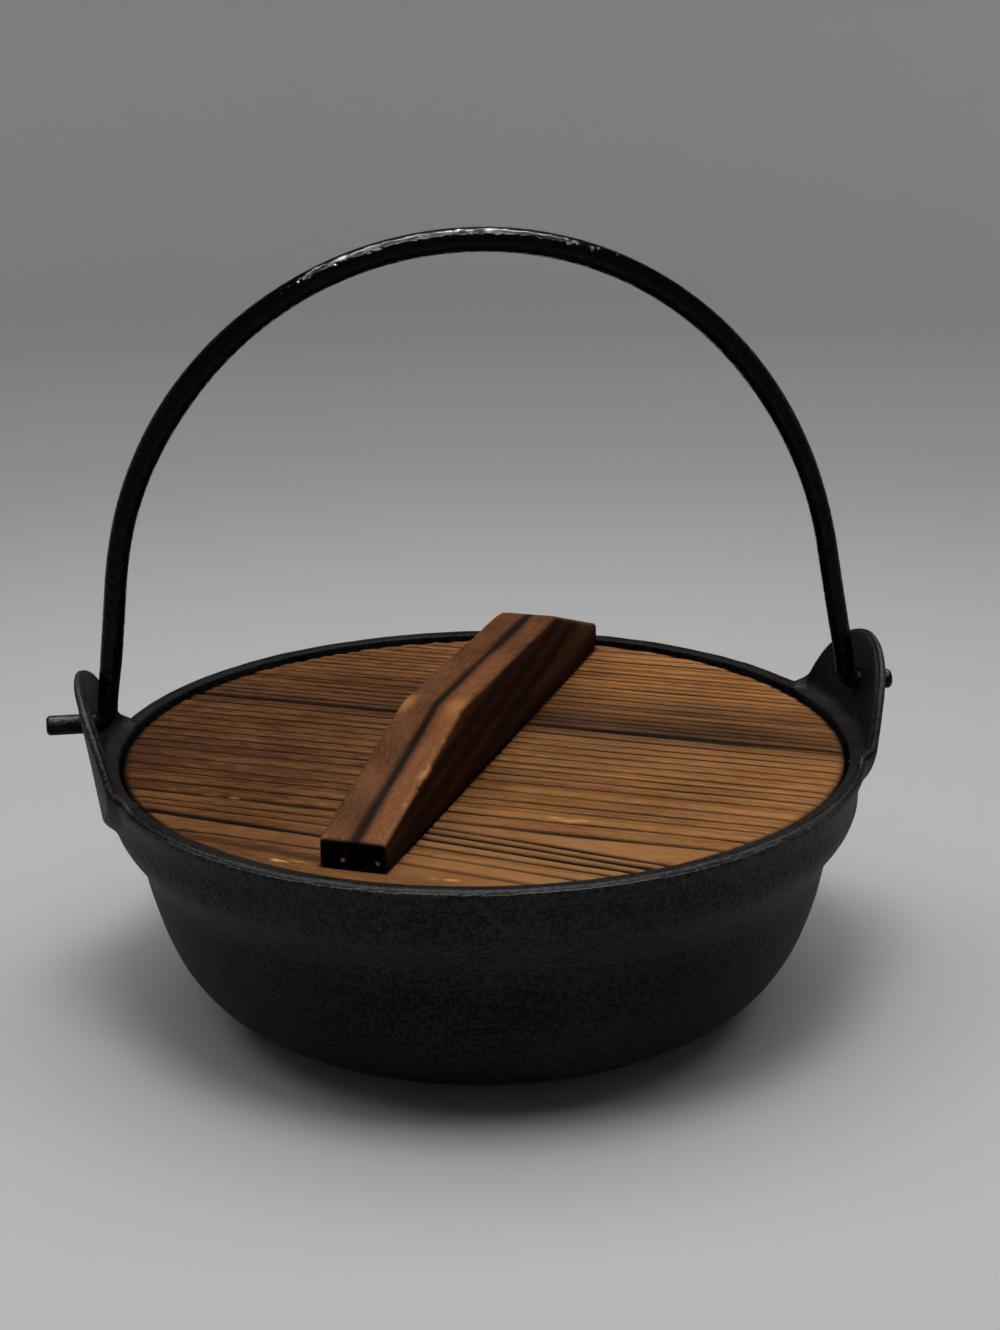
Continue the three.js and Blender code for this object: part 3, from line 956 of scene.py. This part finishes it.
    def dress(self, board: Object) -> None:
        """Writes the board's grooves, smoky places, charred edge, chips and tone.

        The tone is deeper on the left and at the back, and each strip between two ring lines has
        its own.

        Args:
            board: the board's object, before it is turned into place.
        """
        where = positions(board)
        x, y, z = where.T
        level = joined(x, y, 0)
        cloud = np.maximum(bump(y, 35, 17), 0.55 * bump(y, 52, 16))
        cloud = cloud * (0.45 + 0.55 * smooth(x, -80, 20)) * (1 - 0.3 * smooth(x, 85, 115))
        smoky = 0.8 * cloud + 0.25 * smooth(ripple(level, 55, 71), 0.3, 0.9)
        strips = np.sum([y > line.middle(x) for line in self.lines()], axis=0)
        own = np.random.default_rng(self.seed + 9).normal(0, 0.11, strips.max() + 1)[strips]
        bright = smooth(x, -75, 60)
        tone = self.tone + 0.05 - 0.6 * bright + (0.1 + 0.1 * bright) * ripple(level, 70, self.seed + 5)
        tone = tone - 0.2 * smooth(y, 45, 90) * (1 - bright) + own * (0.5 + 0.5 * bright)
        torn = np.max([np.exp(-(((x - c.x) / c.length) ** 2 + ((y - c.y) / c.width) ** 2) ** 2)
                       for c in self.chips], axis=0, initial=0)
        torn = torn * smooth(ripple(where * (0.6, 1.6, 1), 3, 72), -0.1, 0.4)
        groove = np.maximum(np.clip(1.1 * self.grooves(x, y)[1], 0, 1), self.seam(x, y))
        below = 1 - smooth(z, 8.5, 10.6)
        paint(board, groove=np.clip(groove + 0.6 * below, 0, 1), smoke=np.clip(smoky, 0, 0.85),
              char=0.9 * (1 - smooth(LID_RADIUS - np.hypot(x, y), 0.5, 1.5)), chip=0.8 * torn,
              tone=np.clip(tone, -0.2, 1))


@dataclass
class Crossbar:
    """The lid's grip, with its dovetailed tongue, in the lid's own frame: it runs along y."""

    width: float = 21.0
    offset: float = -4.0
    front: float = -111.0
    rear: float = 115.0
    front_slope: float = 73.0
    rear_slope: float = 53.0
    end_height: float = 21.0
    crest_height: float = 39.5
    corner: float = 1.4
    seat: float = 11.5
    valley: float = 11.2
    dovetail_depth: float = 5.0
    neck: float = 11.0
    foot: float = 15.0
    setback: float = 4.0
    play: float = 0.3
    seat_gap: float = 0.3

    def carried(self, section: Array, places: Array) -> Array:
        """Rings that repeat a section, with points of width and height, at places along the bar."""
        across, up = np.asarray(section).T
        return joined(self.offset + across, np.asarray(places)[:, None], up)

    def dovetail(self, name: str, play: float, top: float, ends: tuple) -> Object:
        """A dovetail carried along the crossbar.

        Args:
            name: the piece's name.
            play: how much its section is grown all round.
            top: height of its top.
            ends: where it starts and ends.

        Returns:
            The new object.
        """
        neck, foot = self.neck / 2 + play, self.foot / 2 + play
        floor = self.valley - self.dovetail_depth - play
        half = [(foot, floor), (neck, self.valley), (neck, top)]
        section = half + [(-across, up) for across, up in half[::-1]]
        return tube(name, self.carried(section[-1:] + section[:-1], ends))

    def housing(self) -> Object:
        """What is cut out of the boards: the level bed, with the dovetail groove under it."""
        above = 14.0
        ends = (self.front + self.setback - self.play, LID_RADIUS + 1)
        groove = self.dovetail("housing", self.play, above, ends)
        half = self.width / 2 + self.seat_gap
        section = [(-half, self.valley), (half, self.valley), (half, above + 0.5), (-half, above + 0.5)]
        bed = self.carried(section, (self.front - self.seat_gap, self.rear + self.seat_gap))
        boolean(groove, tube("bed", bed), Join.ADD)
        return groove

    def crest(self, y: Array) -> Array:
        """Height of the top along the bar: two slopes and a level crest, with softened bends."""
        knots = [self.front, self.front + self.front_slope, self.rear - self.rear_slope, self.rear]
        heights = [self.end_height, self.crest_height, self.crest_height, self.end_height]
        return np.mean([np.interp(y + d, knots, heights) for d in np.linspace(-1.6, 1.6, 9)], axis=0)

    def section(self, top: float, less: float) -> Array:
        """The bar's rounded section, from its lower left corner round to it again.

        Args:
            top: height of its top.
            less: how much smaller it is at an end.

        Returns:
            Points of width and height, one in each row, always as many.
        """
        half, low, high = self.width / 2 - less - self.corner, self.seat + self.corner, top - self.corner
        middles = (-half, low, pi), (half, low, 1.5 * pi), (half, high, 0.0), (-half, high, 0.5 * pi)
        corners = [quarter(x, y, self.corner, start, 6) for x, y, start in middles]
        parts = []
        for corner, following, count in zip(corners, corners[1:] + corners[:1], (16, 11, 16, 11)):
            share = np.linspace(0, 1, count)[1:-1, None]
            parts += [corner, corner[-1] + (following[0] - corner[-1]) * share]
        return np.vstack(parts)

    def build(self) -> None:
        """Makes the crossbar: a rounded rectangle whose top follows the crest, carried along it."""
        inset, pull = np.array([0.0, 0.12, 0.35, 0.7, 1.2]), np.array([1.15, 0.75, 0.4, 0.12, 0.0])
        body = np.linspace(self.front + 2, self.rear - 2, 220)
        places = np.concatenate([self.front + inset, body, self.rear - inset[::-1]])
        shrink = np.concatenate([pull, 0 * body, pull[::-1]])
        rings = self.worn(np.vstack([self.carried(self.section(float(top) - less, less), [y])
                                     for y, top, less in zip(places, self.crest(places), shrink)]))
        # The front end is closed with ever smaller rings, so that its marks have points to sit on.
        hub = rings[0].mean(axis=0)
        cap = hub + (rings[0] - hub) * np.linspace(0.04, 0.96, 24)[:, None, None]
        bar = tube("cedar_crossbar", np.concatenate([cap, rings]))
        tongue = self.dovetail("tongue", 0.0, self.seat + 1.5, (self.front + self.setback, self.rear))
        boolean(bar, tongue, Join.ADD)
        self.dress(bar)
        settle(bar)
        cedar = ScorchedCedar("Dark scorched cedar, crossbar", "#7c4f2f", "#432716", 90 - LID_TURN)
        hand_over(bar, cedar.build(), Body.LID, "lid_crossbar")

    def worn(self, rings: Array) -> Array:
        """Softens the bar by hand wear: shallow waves all over, and chips along its upper edges.

        Points move in by 0.12 (1 + ripple of 24 mm) + 0.05 (1 + ripple of 8 mm), and near an upper
        edge by a chip of up to 0.7 where a ripple of 7 mm is above 0.5.

        Args:
            rings: positions as ring, point, coordinate.

        Returns:
            The changed positions.
        """
        across, up = rings[..., 0] - self.offset, rings[..., 2]
        top = self.crest(rings[..., 1])
        edge = bump(np.abs(across), self.width / 2, 1.8) * bump(up, top, 1.8)
        waves = 0.12 * (1 + ripple(rings, 24, 32)) + 0.05 * (1 + ripple(rings, 8, 33))
        inward = waves + 0.7 * (smooth(ripple(rings, 7, 31), 0.5, 0.9) * edge)
        changed = rings.copy()
        out = np.sign(across) * smooth(np.abs(across), self.width / 2 - 1.5, self.width / 2)
        raised = smooth(up, self.seat + 2, self.seat + 6)
        changed[..., 0] -= out * inward
        changed[..., 2] -= raised * inward * smooth(up, top - 2.5, top - 0.5)
        return changed

    def dress(self, bar: Object) -> None:
        """Writes the bar's dark streaks, smoky sides, charred front end, chips and tone.

        Args:
            bar: the bar's object, before it is turned into place.
        """
        where = positions(bar)
        x, y, z = where.T
        across, half, top = x - self.offset, self.width / 2, self.crest(y)
        on_top = smooth(z, top - 1.9, top - 0.5)
        streak_at = 0.9 + 0.5 * wander(y, 90, 41)
        streak = bump(across, streak_at, 1.65 * (1 + 0.35 * wander(y, 50, 42)), 4) * on_top
        thin = bump(across, streak_at + 2.6, 0.5) * on_top * smooth(wander(y, 40, 45), -0.2, 0.6)
        left, right = (smooth(side * across, half - 1.6, half - 0.4) * (1 - on_top) for side in (-1, 1))
        bands = smooth(wander(7 * z - 0.9 * y, 60, 43), -0.35, 0.25)
        dark = np.maximum(bands, 1 - smooth(z, self.seat + 1, self.seat + 10))
        smoky = right * (0.55 + 0.4 * dark) + 0.3 * left
        smoky += 0.12 * on_top * smooth(ripple(where, 26, 46), 0.1, 0.8)
        crest_edge = bump(y, self.front + self.front_slope, 5) * bump(np.abs(across + 0.6), 8.6, 2.6) * on_top
        strip = smooth(across, 2.4, 4) * on_top * (1 - 0.8 * smooth(y, -30, 40))
        tone = 0.68 - 0.36 * strip - 1.3 * crest_edge + 0.2 * ripple(where, 30, 44)
        rim = bump(across, half - 0.5, 1.2) * bump(z, top - 0.5, 1.4) * bump(y, -78, 26)
        nose = bump(z, top - 0.5, 1.1) * bump(y, self.front + 0.6, 1.0)
        rough = ripple(where, 9, 47) + 0.4 * ripple(where, 2.5, 48)
        torn = np.maximum(rim, 0.5 * nose) * smooth(rough, 0.45, 0.75)
        end = 1 - smooth(y, self.front + 0.15, self.front + 1.0)
        # Two pale dots on the charred front end are painted glints, in the chip colour.
        painted_glints = sum(bump(across, at, 0.6) * bump(z, 14.8, 0.6) for at in (-3.0, 7.9)) * end
        crack = bump(across, -2.0, 0.35) * bump(z, 17, 4) * end
        paint(bar, groove=np.clip(0.94 * streak + 0.5 * thin, 0, 1), smoke=np.clip(smoky, 0, 1),
              char=np.clip(0.42 * right * dark + end - painted_glints - 0.12 * crack, 0, 1),
              chip=np.clip(0.6 * torn + 0.12 * rim + 0.2 * crest_edge + painted_glints, 0, 1),
              tone=np.clip(tone, -0.5, 1))


@dataclass
class Lid:
    """The lid: three boards edge to edge, with the crossbar over their joints."""

    front_joint: float = -67.0
    back_joint: float = 27.0
    joint_gap: float = 0.3

    def fan(self) -> tuple:
        """The front board's ring lines, which fan out to either side of the crossbar."""
        left = ((-73.6, 0.75, 0.95, -0.016, 901, 0.3, 0.2), (-80.9, 0.8, 0.95, -0.055, 902, 0.3, 0.2),
                (-90.2, 1.15, 1.0, -0.1, 905, 0.4, -0.7), (-99.0, 0.75, 0.9, -0.066, 906),
                (-107.6, 2.4, 0.5, -0.147, 908))
        right = ((-71.0, 0.85, 1.0, -0.12, 903, 0.3, 0.3), (-75.5, 1.1, 1.0, -0.12, 904, 0.4, 0.2),
                 (-80.5, 1.0, 1.0, -0.115, 907, 0.3, 0.2), (-86.0, 0.8, 0.9, -0.11, 909),
                 (-92.5, 0.7, 0.8, -0.11, 910), (-100.5, 1.0, 0.6, -0.11, 911))
        lines = [RingLine(*line, end=-6.0) for line in left]
        return (*lines, *(RingLine(*line, start=0.0) for line in right))

    def build(self) -> None:
        """Makes the boards and the crossbar."""
        gap, bar = self.joint_gap / 2, Crossbar()
        boards = (
            Board("front", -LID_RADIUS, self.front_joint - gap, 21, "#8e6339", "#4f2d14",
                  (Chip(-26, -110, 7, 1.2), Chip(24, -110, 5, 1)), extra=self.fan(), tone=0.72),
            Board("middle", self.front_joint + gap, self.back_joint - gap, 22, "#98693b", "#482812",
                  (Chip(45, -55, 7, 1.6), Chip(-66, -65.5, 5, 1)), pitch_low=7.4, pitch_high=4.6),
            Board("back", self.back_joint + gap, LID_RADIUS, 23, "#a46f3c", "#4a2a13",
                  (), pitch_low=4.7, pitch_high=4.2, tone=0.75),
        )
        for board in boards:
            board.build(bar)
        bar.build()


# ---- studio


@dataclass
class Studio:
    """Camera, pale floor with a curved backdrop, lamps and surroundings."""

    focal: float = 2500.0
    centre: tuple = (484.15, 741.98)
    principal: tuple = (500.0, 665.0)
    distance: float = 828.965
    tilt: float = 0.3463
    roll: float = -0.0160
    yaw: float = 0.12426
    rim_height: float = 88.0
    frame_width: int = 1000
    floor_reach: float = 1300.0
    floor_bend: float = 1100.0
    backdrop_top: float = 3600.0
    near_grey: str = "#aeaeae"
    middle_grey: str = "#969696"
    far_grey: str = "#b0b0b0"

    def camera(self) -> None:
        """Places the camera at the photograph's viewing angle.

        The middle of the rim is seen at a known point of the frame, so the camera's axes are
        turned by the small turn that takes the ray through that point to straight ahead.
        """
        data = bpy.data.cameras.new("camera")
        data.sensor_fit = "HORIZONTAL"
        data.sensor_width = 36.0
        data.lens = self.focal / self.frame_width * data.sensor_width
        data.clip_start, data.clip_end = 0.01, 50
        camera = bpy.data.objects.new("camera", data)
        bpy.context.scene.collection.objects.link(camera)
        ray = Vector((self.centre[0] - self.principal[0], self.principal[1] - self.centre[1], -self.focal))
        swing = ray.rotation_difference(Vector((0, 0, -1))).to_matrix().to_4x4()
        camera.matrix_world = (
            Matrix.Translation((0, 0, self.rim_height * MM)) @ Matrix.Rotation(-self.yaw, 4, "Z")
            @ Matrix.Rotation(pi / 2 - self.tilt, 4, "X") @ Matrix.Translation((0, 0, self.distance * MM))
            @ Matrix.Rotation(self.roll, 4, "Z") @ swing)
        bpy.context.scene.camera = camera

    def surround(self) -> None:
        """The floor, which curves up into a backdrop that is open above: a line turned about Z."""
        flat = joined(np.linspace(0.5, 1200, 12), 0)
        arc = quarter(self.floor_reach, self.floor_bend, self.floor_bend, -0.5 * pi, 16)
        line = np.vstack([flat, arc, [(self.floor_reach + self.floor_bend, self.backdrop_top)]])
        radius, height = line.T[..., None]
        angle = np.linspace(0, 2 * np.pi, 96, endpoint=False)
        rings = joined(radius * np.cos(angle), radius * np.sin(angle), height)
        floor = tube("studio_floor", rings, capped=False)
        floor.data.materials.append(self.paper())

    def paper(self) -> Material:
        """Pale matt paper, whose grey changes with the distance from the object as painted light and shade.
        """
        material, add, (place,) = new_material("Matt backdrop paper")
        away = add("VectorMath", {"Vector": place}, operation="LENGTH").outputs["Value"]
        colour = linear(self.near_grey)
        # The greys paint light and shade on the paper: darker from 0.25 m out, lighter again past 1.2 m.
        for start, end, grey in ((0.25, 0.85, self.middle_grey), (1.2, 2.3, self.far_grey)):
            reach = add("MapRange", {"Value": away, "From Min": start, "From Max": end},
                        interpolation_type="SMOOTHSTEP")
            colour = add("Mix", {"Factor": reach, "A": colour, "B": linear(grey)}, data_type="RGBA")
        surface = add("BsdfPrincipled", {"Base Color": colour, "Roughness": 1.0, "Specular IOR Level": 0.0})
        add("OutputMaterial", {"Surface": surface})
        return material

    def lights(self) -> None:
        """Two lamps overhead, two narrow strips that only gloss shows, and dim surroundings.

        Each lamp has a name, two sides and a place in metres, a power in watts, and whether it is
        there for gloss alone or for all but gloss. It faces the object's middle.
        """
        lamps = (("broad", (3.2, 1.9), (0.0, 0.05, 1.7), 35, False),
                 ("key", (0.5, 0.5), (-0.05, -0.42, 1.7), 11, False),
                 ("strip_behind", (1.4, 0.006), (-0.02, 0.46, 1.65), 110, True),
                 ("strip_before", (1.4, 0.004), (-0.02, -0.56, 1.65), 50, True))
        for name, size, place, power, mirrored in lamps:
            data = bpy.data.lights.new(name, "AREA")
            data.shape = "RECTANGLE"
            data.size, data.size_y = size
            data.energy = power
            lamp = bpy.data.objects.new(name, data)
            lamp.visible_glossy, lamp.visible_diffuse = mirrored, not mirrored
            bpy.context.scene.collection.objects.link(lamp)
            facing = (Vector(place) - Vector((0, 0, 0.1))).to_track_quat("Z", "Y")
            lamp.matrix_world = Matrix.Translation(place) @ facing.to_matrix().to_4x4()
        world = bpy.data.worlds.new("surroundings")
        world.use_nodes = True
        background = world.node_tree.nodes["Background"]
        background.inputs["Color"].default_value = (1, 1, 1, 1)
        background.inputs["Strength"].default_value = 0.02
        bpy.context.scene.world = world

    def build(self) -> None:
        """Makes camera, floor and lights."""
        self.camera()
        self.surround()
        self.lights()
        bpy.context.scene.view_settings.view_transform = "Standard"


def main() -> None:
    """Builds the studio, then the pot, the bail and the lid."""
    logging.basicConfig(level=logging.INFO, format="%(name)s: %(message)s")
    for part in (Studio(), Pot(), Bail(), Lid()):
        part.build()


if __name__ == "__main__":
    main()
